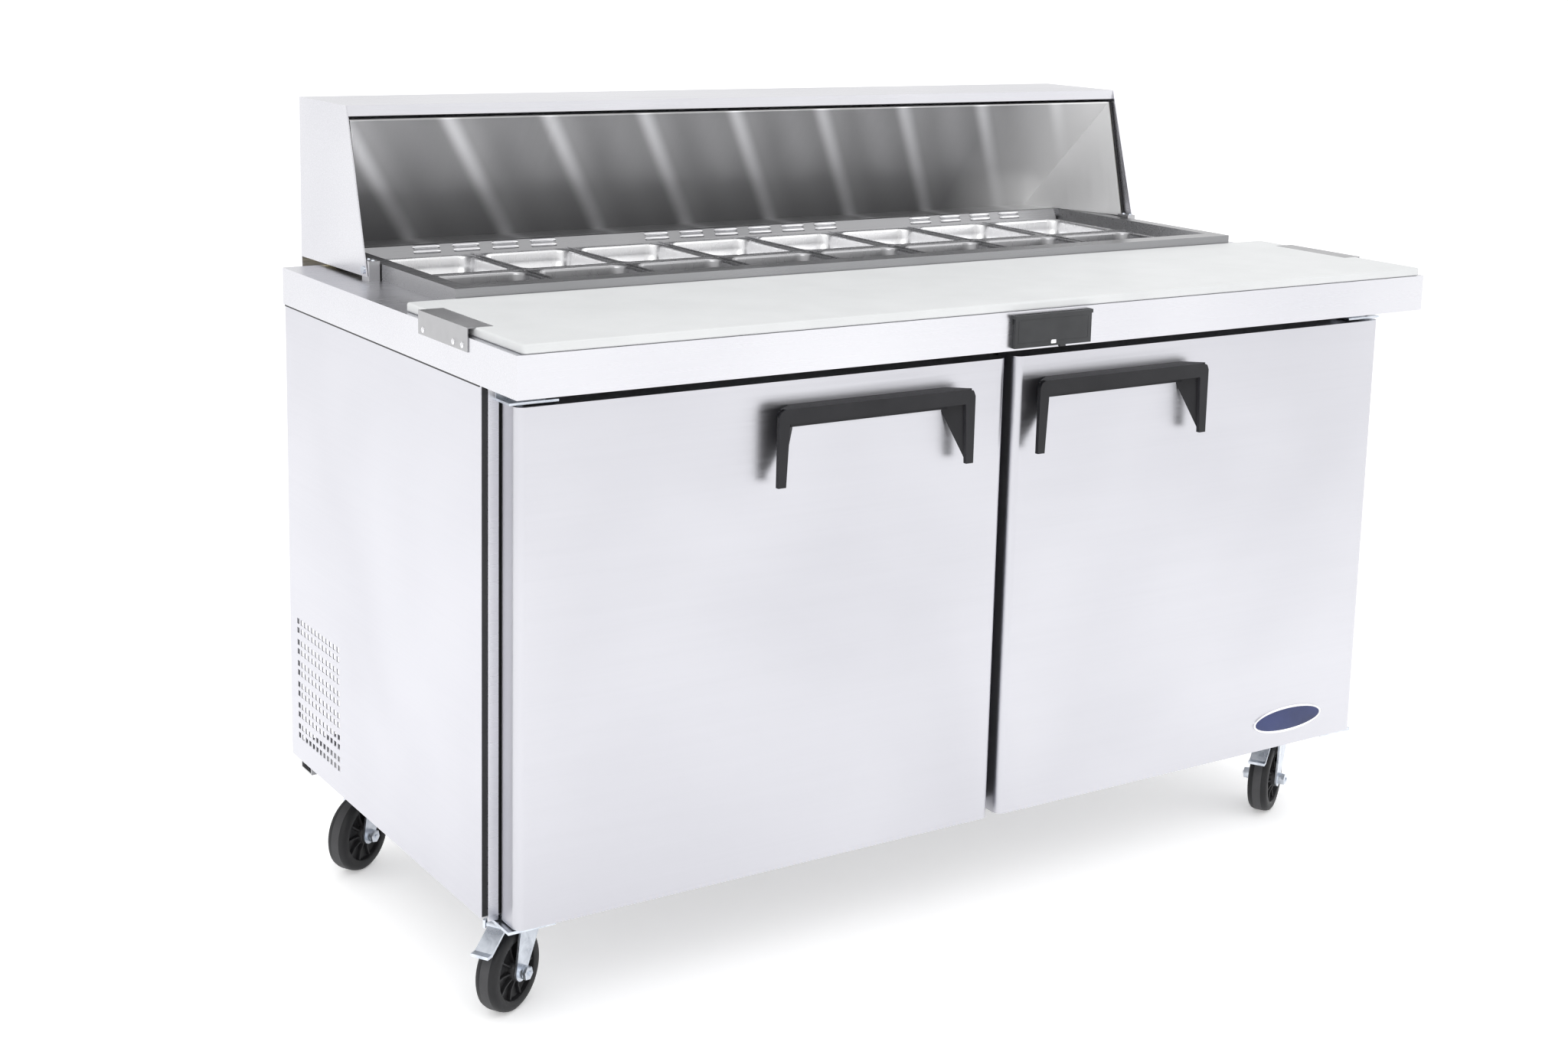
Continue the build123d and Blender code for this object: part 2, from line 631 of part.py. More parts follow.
def caster_plate():
    """Fixed top plate with its four bolts and the upper bearing race."""
    plate = Pos(0, 0, BODY_BOTTOM - 2) * Box(96, 72, 4)
    race = Pos(0, 0, BODY_BOTTOM - 7) * Cylinder(25, 6)
    bolts = []
    for x in (-38, 38):
        for y in (-26, 26):
            bolts.append(Pos(x, y, BODY_BOTTOM - 6) * extrude(RegularPolygon(6, 6), 2.5))
    return join([plate, race] + bolts)


def caster_fork():
    """Pressed fork: crown disc and two legs that slant back to the axle."""
    top = BODY_BOTTOM - 10.3
    crown = Pos(0, 0, top - 3) * Cylinder(29, 6)
    bridge = block(-27, 27, -22, 22, top - 9, top - 4)
    axle = (-CASTER_TRAIL, WHEEL_R)
    legs = []
    for side in (-1, 1):
        y0, y1 = mirrored(side, 19, 22)
        leg = [(-27, top - 4), (27, top - 4), (24, top - 22), (axle[0] + 13, axle[1]), (axle[0] - 13, axle[1])]
        face = Plane.XZ * make_face(Polyline(*leg, close=True))
        sheet = Pos(0, y0, 0) * extrude(face, -(y1 - y0))
        foot = rod((axle[0], y0, axle[1]), (axle[0], y1, axle[1]), 13)
        bore = rod((axle[0], y0 - 1, axle[1]), (axle[0], y1 + 1, axle[1]), AXLE_R)
        legs.append(sheet + foot - bore)
    return join([crown, bridge] + legs)


def caster_axle():
    """Axle bolt with its head and nut."""
    shank = rod((-CASTER_TRAIL, -24, WHEEL_R), (-CASTER_TRAIL, 24, WHEEL_R), AXLE_R)
    head = rod((-CASTER_TRAIL, -28, WHEEL_R), (-CASTER_TRAIL, -22, WHEEL_R), 9)
    nut = rod((-CASTER_TRAIL, 22, WHEEL_R), (-CASTER_TRAIL, 28, WHEEL_R), 9)
    return join([shank, head, nut])


def caster_wheel():
    """Rubber wheel with a dished face on each side and a plain bore."""
    half = WHEEL_WIDTH / 2
    hub = half + 2
    outline = [(AXLE_R + RUNNING_GAP, -hub), (14, -hub), (16, -half + 8), (39, -half + 8), (42, -half),
               (WHEEL_R - 5, -half), (WHEEL_R, -half + 6), (WHEEL_R, half - 6), (WHEEL_R - 5, half),
               (42, half), (39, half - 8), (16, half - 8), (14, hub), (AXLE_R + RUNNING_GAP, hub)]
    face = Plane.XY * make_face(Polyline(*outline, close=True))
    wheel = revolve(face, Axis.Y)
    return Pos(-CASTER_TRAIL, 0, WHEEL_R) * wheel


PEDAL_X = -52.0
PEDAL_Z = 121.0


def brake_pedal():
    """Foot pedal of a braked caster, hinged behind the fork crown."""
    plate = [(PEDAL_X, PEDAL_Z + 2), (PEDAL_X - 33, PEDAL_Z - 22), (PEDAL_X - 42, PEDAL_Z - 22.5),
             (PEDAL_X - 42, PEDAL_Z - 26.5), (PEDAL_X - 32, PEDAL_Z - 26), (PEDAL_X, PEDAL_Z - 2)]
    face = Plane.XZ * make_face(Polyline(*plate, close=True))
    arm = Pos(0, -13, 0) * extrude(face, -26)
    barrel = rod((PEDAL_X, -15, PEDAL_Z), (PEDAL_X, 15, PEDAL_Z), 4.5)
    bore = rod((PEDAL_X, -20, PEDAL_Z), (PEDAL_X, 20, PEDAL_Z), 2.5 + RUNNING_GAP)
    return arm + barrel - bore


def pedal_mount():
    """Two lugs and a pin at the back of a braked fork, for its pedal."""
    pin = rod((PEDAL_X, -20, PEDAL_Z), (PEDAL_X, 20, PEDAL_Z), 2.5)
    lugs = []
    for side in (-1, 1):
        y0, y1 = mirrored(side, 16, 20)
        outline = [(-24, 141), (-24, 130), (PEDAL_X - 5, PEDAL_Z - 5), (PEDAL_X - 5, PEDAL_Z + 6)]
        face = Plane.XZ * make_face(Polyline(*outline, close=True))
        lugs.append(Pos(0, y0, 0) * extrude(face, -(y1 - y0)))
    return [pin] + lugs


# ---------------------------------------------------------------- refrigeration
FAN_X = -495.0
FAN_Y = 662.0
FAN_Z = 268.0


def compressor():
    """Hermetic compressor: drum, dome and its foot plate."""
    drum = Pos(-300, 662, 230) * Cylinder(70, 120)
    dome = Pos(-300, 662, 290) * Sphere(70)
    foot = block(-380, -220, 590, 730, 157, 170)
    return join([drum, dome, foot])


def condenser_coil():
    """Finned condenser block, and the fan motor on its post."""
    coil = block(-560, -520, 590, 735, 157, 372)
    motor = rod((FAN_X + 20, FAN_Y, FAN_Z), (FAN_X + 70, FAN_Y, FAN_Z), 28)
    shaft = rod((FAN_X - 14, FAN_Y, FAN_Z), (FAN_X + 21, FAN_Y, FAN_Z), 4)
    post = block(FAN_X + 30, FAN_X + 60, FAN_Y - 13, FAN_Y + 13, 157, FAN_Z - 20)
    return [coil, join([motor, shaft, post])]


def condenser_fan():
    """Five-bladed fan on the motor shaft."""
    hub = rod((FAN_X - 12, FAN_Y, FAN_Z), (FAN_X + 12, FAN_Y, FAN_Z), 18)
    bore = rod((FAN_X - 13, FAN_Y, FAN_Z), (FAN_X + 13, FAN_Y, FAN_Z), 4 + RUNNING_GAP)
    blades = []
    for index in range(5):
        blade = Pos(0, 0, 44) * Rot(0, 0, 28) * Box(3, 40, 60)
        blades.append(Pos(FAN_X, FAN_Y, FAN_Z) * Rot(72 * index, 0, 0) * blade)
    return join([hub] + blades) - bore


def evaporator_coil():
    """Finned evaporator block on the back wall under the pans."""
    return block(-330, 330, 640, 700, 560, 720)


# ---------------------------------------------------------------- write every node
save("side_panels", [side_panel(-1) - grille_holes(), side_panel(1)])
save("back_panel", back_panel())
save("power_inlet", power_inlet())
save("base_pan", base_pan())
save("insulation", insulation())
save("interior_liner", interior_liner())
save("front_frame", front_frame())
save("wire_shelves", [wire_shelf(-708, -32), wire_shelf(56, 708)] + shelf_posts())

save("countertop", countertop())
save("pan_collar", pan_collar())
save("louvre_plate", louvre_plate())
save("divider_bars", divider_bars())
save("cutting_board", cutting_board())
save("board_brackets", both_sides(board_bracket))
for number in range(PAN_COLUMNS):
    save(f"front_pan_{number + 1}", pan(number, FRONT_ROW_Y))
    save(f"rear_pan_{number + 1}", pan(number, REAR_ROW_Y))

save("canopy_liner", canopy_liner())
save("hood_pivot_brackets", both_sides(pivot_bracket))
save("hood_pivot_pins", both_sides(pivot_pin))
save("hood_shell", hood_shell())

for word, hand in (("left", -1), ("right", 1)):
    save(f"{word}_door_skin", door_skin(hand))
    save(f"{word}_door_core", door_core(hand))
    save(f"{word}_door_gasket", door_gasket(hand))
    save(f"{word}_door_handle", door_handle(hand))
save("hinge_brackets", hinge_brackets())

save("controller_housing", controller_housing())
save("controller_cover", controller_cover())

save("caster_plates", [Pos(x, y, 0) * caster_plate() for x, y in CASTERS.values()])
for corner in CASTERS:
    fork_pieces = [caster_fork(), caster_axle()]
    if corner.startswith("front"):
        fork_pieces[0] = join([fork_pieces[0]] + pedal_mount())
        save(f"brake_pedal_{corner}", place_caster(corner, brake_pedal()))
    save(f"caster_fork_{corner}", [place_caster(corner, piece) for piece in fork_pieces])
    save(f"caster_wheel_{corner}", place_caster(corner, caster_wheel()))

save("compressor", compressor())
save("condenser_coil", condenser_coil())
save("condenser_fan", condenser_fan())
save("evaporator_coil", evaporator_coil())
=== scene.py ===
import math

import bmesh
import bpy
from mathutils import Matrix, Vector


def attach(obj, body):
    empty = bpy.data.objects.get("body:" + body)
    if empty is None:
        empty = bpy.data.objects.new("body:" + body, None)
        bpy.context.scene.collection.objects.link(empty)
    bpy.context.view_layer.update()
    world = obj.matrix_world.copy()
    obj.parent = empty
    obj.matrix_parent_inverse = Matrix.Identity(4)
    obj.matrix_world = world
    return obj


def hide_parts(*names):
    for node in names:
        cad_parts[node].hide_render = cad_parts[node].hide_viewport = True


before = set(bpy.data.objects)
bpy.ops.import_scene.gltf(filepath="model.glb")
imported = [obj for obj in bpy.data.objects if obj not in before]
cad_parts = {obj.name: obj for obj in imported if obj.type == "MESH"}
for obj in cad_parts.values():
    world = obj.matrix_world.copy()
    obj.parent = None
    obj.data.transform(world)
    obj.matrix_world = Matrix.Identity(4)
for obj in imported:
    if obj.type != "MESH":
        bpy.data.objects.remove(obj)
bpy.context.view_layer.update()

DEPTH_CENTRE = 416.0
PAN_PITCH = 161.0
PIVOT_Y = 600.0
PIVOT_Z = 902.0
CASTER_TURN = math.radians(30.5)
CASTERS = {
    "front_left": (-675, 165),
    "front_right": (675, 165),
    "rear_left": (-675, 670),
    "rear_right": (675, 670),
}


def at(x, y, z):
    """A point given in millimetres from the middle, the worktop's front face and the floor."""
    return Vector((x / 1000, (y - DEPTH_CENTRE) / 1000, z / 1000))


# ---------------------------------------------------------------- materials
def shader(name, color, rough, metallic=0.0, **sockets):
    """A material with its fixed values set on the Principled shader itself."""
    mat = bpy.data.materials.new(name)
    mat.use_nodes = True
    bsdf = mat.node_tree.nodes["Principled BSDF"]
    bsdf.inputs["Base Color"].default_value = (*color, 1)
    bsdf.inputs["Roughness"].default_value = rough
    bsdf.inputs["Metallic"].default_value = metallic
    for socket, value in sockets.items():
        bsdf.inputs[socket.replace("_", " ")].default_value = value
    return mat, mat.node_tree.nodes, mat.node_tree.links, bsdf


def noise(nodes, links, scale, stretch=(1, 1, 1), detail=3.0, distortion=0.0):
    """A noise texture in object coordinates, stretched along each axis; returns its value socket."""
    coords = nodes.new("ShaderNodeTexCoord")
    mapping = nodes.new("ShaderNodeMapping")
    mapping.inputs["Scale"].default_value = stretch
    texture = nodes.new("ShaderNodeTexNoise")
    texture.inputs["Scale"].default_value = scale
    texture.inputs["Detail"].default_value = detail
    texture.inputs["Distortion"].default_value = distortion
    links.new(coords.outputs["Object"], mapping.inputs["Vector"])
    links.new(mapping.outputs["Vector"], texture.inputs["Vector"])
    return texture.outputs["Fac"]


def spread(nodes, links, value, low, high):
    """Maps a noise value to the range low..high."""
    remap = nodes.new("ShaderNodeMapRange")
    remap.inputs["From Min"].default_value = 0.3
    remap.inputs["From Max"].default_value = 0.7
    remap.inputs["To Min"].default_value = low
    remap.inputs["To Max"].default_value = high
    links.new(value, remap.inputs["Value"])
    return remap.outputs["Result"]


def tint(nodes, links, value, dark, light):
    """Maps a value to a colour between dark and light."""
    ramp = nodes.new("ShaderNodeValToRGB")
    ramp.color_ramp.elements[0].position = 0.3
    ramp.color_ramp.elements[0].color = (*dark, 1)
    ramp.color_ramp.elements[1].position = 0.7
    ramp.color_ramp.elements[1].color = (*light, 1)
    links.new(value, ramp.inputs["Fac"])
    return ramp.outputs["Color"]


def relief(nodes, links, bsdf, value, strength, distance):
    """Adds a bump from a value."""
    bump = nodes.new("ShaderNodeBump")
    bump.inputs["Strength"].default_value = strength
    bump.inputs["Distance"].default_value = distance
    links.new(value, bump.inputs["Height"])
    links.new(bump.outputs["Normal"], bsdf.inputs["Normal"])


def brushed_steel(name, dark, light, rough, grain, streak=0.05, depth=0.00004):
    """Stainless sheet: fine streaks along the grain, and broad faint changes of tone."""
    mat, nodes, links, bsdf = shader(name, light, rough, 1.0)
    streaks = noise(nodes, links, 1.0, grain, 4.0)
    broad = noise(nodes, links, 2.2, (1, 1, 1), 2.0, 0.4)
    links.new(tint(nodes, links, broad, dark, light), bsdf.inputs["Base Color"])
    links.new(spread(nodes, links, streaks, rough - streak, rough + streak), bsdf.inputs["Roughness"])
    relief(nodes, links, bsdf, streaks, 0.1, depth)
    return mat


def moulded(name, color, rough, grain=900.0, strength=0.12, lift=1.5):
    """Moulded plastic or rubber: fine grain and a slightly uneven tone."""
    mat, nodes, links, bsdf = shader(name, color, rough)
    light = tuple(min(1.0, c * lift + 0.004) for c in color)
    broad = noise(nodes, links, 14.0, (1, 1, 1), 3.0)
    links.new(tint(nodes, links, broad, color, light), bsdf.inputs["Base Color"])
    fine = noise(nodes, links, grain, (1, 1, 1), 2.0)
    links.new(spread(nodes, links, fine, rough - 0.05, rough + 0.07), bsdf.inputs["Roughness"])
    relief(nodes, links, bsdf, fine, strength, 0.0002)
    return mat


def zinc_plate():
    """Zinc-plated steel with its cloudy crystals."""
    mat, nodes, links, bsdf = shader("zinc", (0.66, 0.70, 0.76), 0.3, 1.0)
    cloud = noise(nodes, links, 60.0, (1, 1, 1), 4.0, 0.6)
    links.new(tint(nodes, links, cloud, (0.50, 0.54, 0.60), (0.78, 0.82, 0.88)), bsdf.inputs["Base Color"])
    links.new(spread(nodes, links, cloud, 0.24, 0.40), bsdf.inputs["Roughness"])
    relief(nodes, links, bsdf, cloud, 0.1, 0.0002)
    return mat


def canopy_steel_painted_light():
    """Dull lining sheet with an upright painted highlight streak at each pan, a painted reflection of the
    pans leaning a little to the right; painted shade darkens its lower part and painted light turns its right
    end pale.
    """
    mat, nodes, links, bsdf = shader("canopy_steel_painted_light", (0.60, 0.60, 0.61), 0.34, 0.55)
    coords = nodes.new("ShaderNodeTexCoord")
    split = nodes.new("ShaderNodeSeparateXYZ")
    links.new(coords.outputs["Object"], split.inputs["Vector"])
    lean = nodes.new("ShaderNodeMath")
    lean.operation = "MULTIPLY_ADD"
    lean.inputs[1].default_value = 0.85  # sideways run of a streak for each unit of height
    links.new(split.outputs["Z"], lean.inputs[0])
    links.new(split.outputs["X"], lean.inputs[2])
    pitch = nodes.new("ShaderNodeMath")
    pitch.operation = "MULTIPLY"
    pitch.inputs[1].default_value = 1000.0 / PAN_PITCH
    links.new(lean.outputs["Value"], pitch.inputs[0])
    part = nodes.new("ShaderNodeMath")
    part.operation = "FRACT"
    links.new(pitch.outputs["Value"], part.inputs[0])
    # painted reflection: a bright band within each pan's pitch
    ramp = nodes.new("ShaderNodeValToRGB")
    ramp.color_ramp.interpolation = "EASE"
    ramp.color_ramp.elements[0].position = 0.0
    ramp.color_ramp.elements[0].color = (0.46, 0.46, 0.47, 1)
    ramp.color_ramp.elements[1].position = 1.0
    ramp.color_ramp.elements[1].color = (0.46, 0.46, 0.47, 1)
    for place_on_ramp, grey in ((0.28, 0.40), (0.42, 0.92), (0.56, 0.52), (0.78, 0.44)):
        ramp.color_ramp.elements.new(place_on_ramp).color = (grey, grey, grey * 1.02, 1)
    links.new(part.outputs["Value"], ramp.inputs["Fac"])
    # painted shade: darker towards the bottom of the canopy
    height = nodes.new("ShaderNodeMapRange")
    height.inputs["From Min"].default_value = 0.93
    height.inputs["From Max"].default_value = 1.09
    height.inputs["To Min"].default_value = 0.42
    height.inputs["To Max"].default_value = 1.0
    links.new(split.outputs["Z"], height.inputs["Value"])
    # painted light: paler towards the right end of the canopy
    end = nodes.new("ShaderNodeMapRange")
    end.inputs["From Min"].default_value = 0.45
    end.inputs["From Max"].default_value = 0.69
    end.inputs["To Min"].default_value = 0.0
    end.inputs["To Max"].default_value = 1.0
    links.new(split.outputs["X"], end.inputs["Value"])
    shade = nodes.new("ShaderNodeMix")
    shade.data_type = "RGBA"
    shade.inputs[6].default_value = (0.16, 0.16, 0.165, 1)
    links.new(height.outputs["Result"], shade.inputs[0])
    links.new(ramp.outputs["Color"], shade.inputs[7])
    pale = nodes.new("ShaderNodeMix")
    pale.data_type = "RGBA"
    pale.inputs[7].default_value = (0.97, 0.97, 0.97, 1)
    links.new(end.outputs["Result"], pale.inputs[0])
    links.new(shade.outputs[2], pale.inputs[6])
    links.new(pale.outputs[2], bsdf.inputs["Base Color"])
    fine = noise(nodes, links, 1.0, (420.0, 6.0, 6.0), 3.0)
    links.new(spread(nodes, links, fine, 0.30, 0.42), bsdf.inputs["Roughness"])
    relief(nodes, links, bsdf, fine, 0.1, 0.0001)
    return mat


def finned(name, axis):
    """Aluminium fins: narrow bands across one axis, the dark bands painted shade in the gaps between fins."""
    mat, nodes, links, bsdf = shader(name, (0.7, 0.7, 0.7), 0.45, 1.0)
    coords = nodes.new("ShaderNodeTexCoord")
    wave = nodes.new("ShaderNodeTexWave")
    wave.wave_type = "BANDS"
    wave.bands_direction = axis
    wave.inputs["Scale"].default_value = 120.0
    wave.inputs["Distortion"].default_value = 0.3
    links.new(coords.outputs["Object"], wave.inputs["Vector"])
    # painted shade: near-black bands for the shaded gaps between the fins
    color = tint(nodes, links, wave.outputs["Fac"], (0.08, 0.08, 0.08), (0.75, 0.75, 0.76))
    links.new(color, bsdf.inputs["Base Color"])
    relief(nodes, links, bsdf, wave.outputs["Fac"], 0.6, 0.001)
    return mat


# the side and door copies are the worktop's stainless with darker base colours: painted shade setting each
# face's tone for how light falls on it
STEEL = brushed_steel("steel_along_x", (0.62, 0.62, 0.655), (0.70, 0.70, 0.73), 0.30, (3, 500, 500))
STEEL_SIDE = brushed_steel(
    "steel_along_y", (0.56, 0.56, 0.60), (0.63, 0.63, 0.67), 0.32, (500, 3, 500), 0.025)
STEEL_DOOR = brushed_steel("steel_doors", (0.53, 0.53, 0.565), (0.60, 0.60, 0.635), 0.34, (4, 500, 500))
STEEL_DULL = brushed_steel("steel_dull", (0.46, 0.46, 0.47), (0.58, 0.58, 0.59), 0.40, (4, 400, 400))
COLLAR = brushed_steel("collar_steel", (0.30, 0.30, 0.31), (0.42, 0.42, 0.43), 0.30, (3, 420, 420))
# one pan steel in two copies, light for the rear row and darker for the front row: painted light and painted
# shade
PAN = brushed_steel("pan_steel", (0.78, 0.78, 0.79), (0.92, 0.92, 0.93), 0.26, (60, 60, 8))
PAN_FRONT_PAINTED_SHADE = brushed_steel("front_pan_steel_painted_shade", (0.34, 0.34, 0.35), (0.48, 0.48, 0.49), 0.28, (60, 60, 8))
# front frame coloured near black: painted shade standing for the dark gaps round the doors; the real frame is
# stainless
FRAME_PAINTED_SHADE = brushed_steel("frame_steel_painted_shade", (0.035, 0.035, 0.037), (0.06, 0.06, 0.062), 0.5, (4, 400, 400))
BRACKET = brushed_steel("bracket_steel", (0.34, 0.34, 0.35), (0.44, 0.44, 0.45), 0.34, (60, 60, 60))
DIVIDER = brushed_steel("divider_steel", (0.36, 0.36, 0.37), (0.52, 0.52, 0.53), 0.28, (60, 60, 60))
LINING = brushed_steel("lining_steel", (0.60, 0.60, 0.62), (0.74, 0.74, 0.76), 0.38, (200, 200, 4))
CANOPY = canopy_steel_painted_light()
ZINC = zinc_plate()
BRIGHT = brushed_steel("bright_steel", (0.70, 0.70, 0.72), (0.86, 0.86, 0.88), 0.2, (90, 90, 90))
FOAM = moulded("foam", (0.72, 0.64, 0.40), 0.85, 500.0, 0.5, 1.15)
BOARD = moulded("board_white", (0.60, 0.61, 0.615), 0.42, 700.0, 0.10, 1.05)
GASKET = moulded("gasket_rubber", (0.012, 0.012, 0.013), 0.55)
HANDLE = moulded("handle_plastic", (0.008, 0.008, 0.010), 0.46, 1200.0, 0.08)
PLASTIC = moulded("controller_plastic", (0.028, 0.029, 0.031), 0.44, 1100.0, 0.08)
RUBBER = moulded("tyre_rubber", (0.010, 0.010, 0.011), 0.48, 700.0, 0.15)
TREAD = moulded("tread_rubber", (0.045, 0.045, 0.047), 0.60, 500.0, 0.3)
HUB = moulded("hub_plastic", (0.014, 0.014, 0.015), 0.40, 900.0, 0.1)
PAINT = moulded("black_paint", (0.010, 0.010, 0.011), 0.25, 1500.0, 0.05)
SHELF = moulded("shelf_coating", (0.78, 0.78, 0.77), 0.35, 800.0, 0.08, 1.05)
BADGE_BLUE = moulded("badge_blue", (0.008, 0.016, 0.075), 0.22, 2000.0, 0.02, 1.8)
DISPLAY = moulded("display_red", (0.10, 0.006, 0.006), 0.12, 2000.0, 0.02, 1.4)
COPPER = brushed_steel("copper_pipe", (0.62, 0.30, 0.18), (0.78, 0.42, 0.27), 0.28, (60, 60, 60))
FINS_X = finned("fins_along_x", "Y")
FINS_Y = finned("fins_along_y", "X")

for dark_mat in (HANDLE, PLASTIC, RUBBER, TREAD, HUB):
    dark_mat.node_tree.nodes["Principled BSDF"].inputs["Specular IOR Level"].default_value = 0.28

NODE_MATERIAL = {
    "countertop": STEEL, "side_panels": STEEL_SIDE, "back_panel": STEEL_DULL, "power_inlet": PLASTIC,
    "base_pan": STEEL_DULL, "insulation": FOAM, "interior_liner": LINING, "front_frame": FRAME_PAINTED_SHADE,
    "wire_shelves": SHELF, "pan_collar": COLLAR, "louvre_plate": COLLAR, "divider_bars": DIVIDER,
    "canopy_liner": CANOPY, "hood_pivot_brackets": STEEL_DULL, "hood_pivot_pins": ZINC,
    "hinge_brackets": ZINC, "controller_housing": PLASTIC, "controller_cover": PLASTIC,
    "caster_plates": ZINC, "compressor": PAINT, "condenser_coil": FINS_X, "condenser_fan": PLASTIC,
    "evaporator_coil": FINS_Y, "hood_shell": STEEL, "cutting_board": BOARD, "board_brackets": BRACKET,
}
for word in ("left", "right"):
    NODE_MATERIAL[f"{word}_door_skin"] = STEEL_DOOR
    NODE_MATERIAL[f"{word}_door_core"] = LINING
    NODE_MATERIAL[f"{word}_door_gasket"] = GASKET
    NODE_MATERIAL[f"{word}_door_handle"] = HANDLE
for corner in CASTERS:
    NODE_MATERIAL[f"caster_fork_{corner}"] = ZINC
    NODE_MATERIAL[f"caster_wheel_{corner}"] = RUBBER
    NODE_MATERIAL[f"brake_pedal_{corner}"] = ZINC
for row in ("front", "rear"):
    for number in range(1, 9):
        NODE_MATERIAL[f"{row}_pan_{number}"] = PAN

for node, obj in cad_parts.items():
    for index in range(max(1, len(obj.material_slots))):
        if index < len(obj.material_slots):
            obj.material_slots[index].material = NODE_MATERIAL[node]
        else:
            obj.data.materials.append(NODE_MATERIAL[node])


def soften(node, width, segments=2):
    """Eases the sharp edges of a CAD node with a modifier."""
    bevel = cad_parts[node].modifiers.new("soften", "BEVEL")
    bevel.width = width / 1000
    bevel.segments = segments
    bevel.limit_method = "ANGLE"
    bevel.angle_limit = math.radians(40)
    bevel.harden_normals = False


for node, width in (
        ("countertop", 0.6), ("hood_shell", 0.7), ("pan_collar", 1.2), ("divider_bars", 0.4),
        ("cutting_board", 1.0), ("board_brackets", 0.4), ("controller_housing", 0.6),
        ("controller_cover", 0.6), ("left_door_handle", 2.0), ("right_door_handle", 2.0),
        ("hinge_brackets", 0.8), ("caster_plates", 0.8), ("louvre_plate", 0.3),
        ("wire_shelves", 1.0), ("left_door_skin", 0.3), ("right_door_skin", 0.3)):
    soften(node, width)
for corner in CASTERS:
    soften(f"caster_fork_{corner}", 0.8)
for corner in ("front_left", "front_right"):
    soften(f"brake_pedal_{corner}", 0.8)


# ---------------------------------------------------------------- mesh helpers
def new_object(name, mesh, mats, smooth=True, angle=35):
    """An object from a bmesh, with smooth shading up to an edge angle."""
    data = bpy.data.meshes.new(name)
    bmesh.ops.recalc_face_normals(mesh, faces=mesh.faces)
    mesh.to_mesh(data)
    mesh.free()
    for mat in mats:
        data.materials.append(mat)
    obj = bpy.data.objects.new(name, data)
    bpy.context.scene.collection.objects.link(obj)
    if smooth:
        for poly in data.polygons:
            poly.use_smooth = True
        data.set_sharp_from_angle(angle=math.radians(angle))
    return obj


def place(obj, body):
    """Rides a finished piece on its body."""
    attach(obj, body)
    return obj


def loft(mesh, rings, cap_start=False, cap_end=False, material=0):
    """Joins closed rings of equal length by faces."""
    made = [[mesh.verts.new(point) for point in ring] for ring in rings]
    count = len(made[0])
    for low, high in zip(made, made[1:]):
        for index in range(count):
            after = (index + 1) % count
            face = mesh.faces.new((low[index], low[after], high[after], high[index]))
            face.material_index = material
    for wanted, ring in ((cap_start, made[0]), (cap_end, made[-1])):
        if wanted:
            mesh.faces.new(ring).material_index = material
    return made


def rounded(half_a, half_b, radius, steps=6):
    """Points of a rounded rectangle about zero, as (a, b)."""
    radius = max(0.01, min(radius, half_a - 0.01, half_b - 0.01))
    points = []
    for quarter, (sa, sb) in enumerate(((1, 1), (-1, 1), (-1, -1), (1, -1))):
        for step in range(steps + 1):
            a = math.radians(90 * quarter + 90 * step / steps)
            points.append((sa * (half_a - radius) + radius * math.cos(a),
                           sb * (half_b - radius) + radius * math.sin(a)))
    return points


def lathe(mesh, profile, centre, axis, steps=48, material=0, cap=True):
    """Turns (radius, height) pairs about an axis through centre."""
    axis = axis.normalized()
    side = axis.orthogonal().normalized()
    other = axis.cross(side)
    rings = []
    for radius, height in profile:
        ring = []
        for step in range(steps):
            a = 2 * math.pi * step / steps
            ring.append(centre + axis * height / 1000
                        + (side * math.cos(a) + other * math.sin(a)) * radius / 1000)
        rings.append(ring)
    return loft(mesh, rings, cap, cap, material)


def tube(name, points, radius, mat):
    """A round pipe along a smooth line."""
    curve = bpy.data.curves.new(name, "CURVE")
    curve.dimensions = "3D"
    curve.bevel_depth = radius / 1000
    curve.bevel_resolution = 4
    curve.resolution_u = 8
    line = curve.splines.new("NURBS")
    line.points.add(len(points) - 1)
    for spot, point in zip(line.points, points):
        spot.co = (*at(*point), 1)
    line.order_u = 3
    line.use_endpoint_u = True
    curve.materials.append(mat)
    obj = bpy.data.objects.new(name, curve)
    bpy.context.scene.collection.objects.link(obj)
    return obj


def screw_set(name, spots, radius, mat, body):
    """Pan-head screws with a socket, as one piece; spots are (point in mm, direction)."""
    mesh = bmesh.new()
    for point, direction in spots:
        profile = [(radius, -0.2), (radius, 0.5), (radius * 0.82, 1.3), (radius * 0.5, 1.7),
                   (radius * 0.42, 1.7), (radius * 0.36, 0.8), (0.05, 0.7)]
        lathe(mesh, profile, at(*point), Vector(direction), 18, 0, False)
    return place(new_object(name, mesh, [mat]), body)


def strip(mesh, outline, x0, x1, material=0):
    """A solid from a (y, z) outline in mm, between two x values."""
    rings = [[at(x, y, z) for y, z in outline] for x in (x0, x1)]
    return loft(mesh, rings, True, True, material)


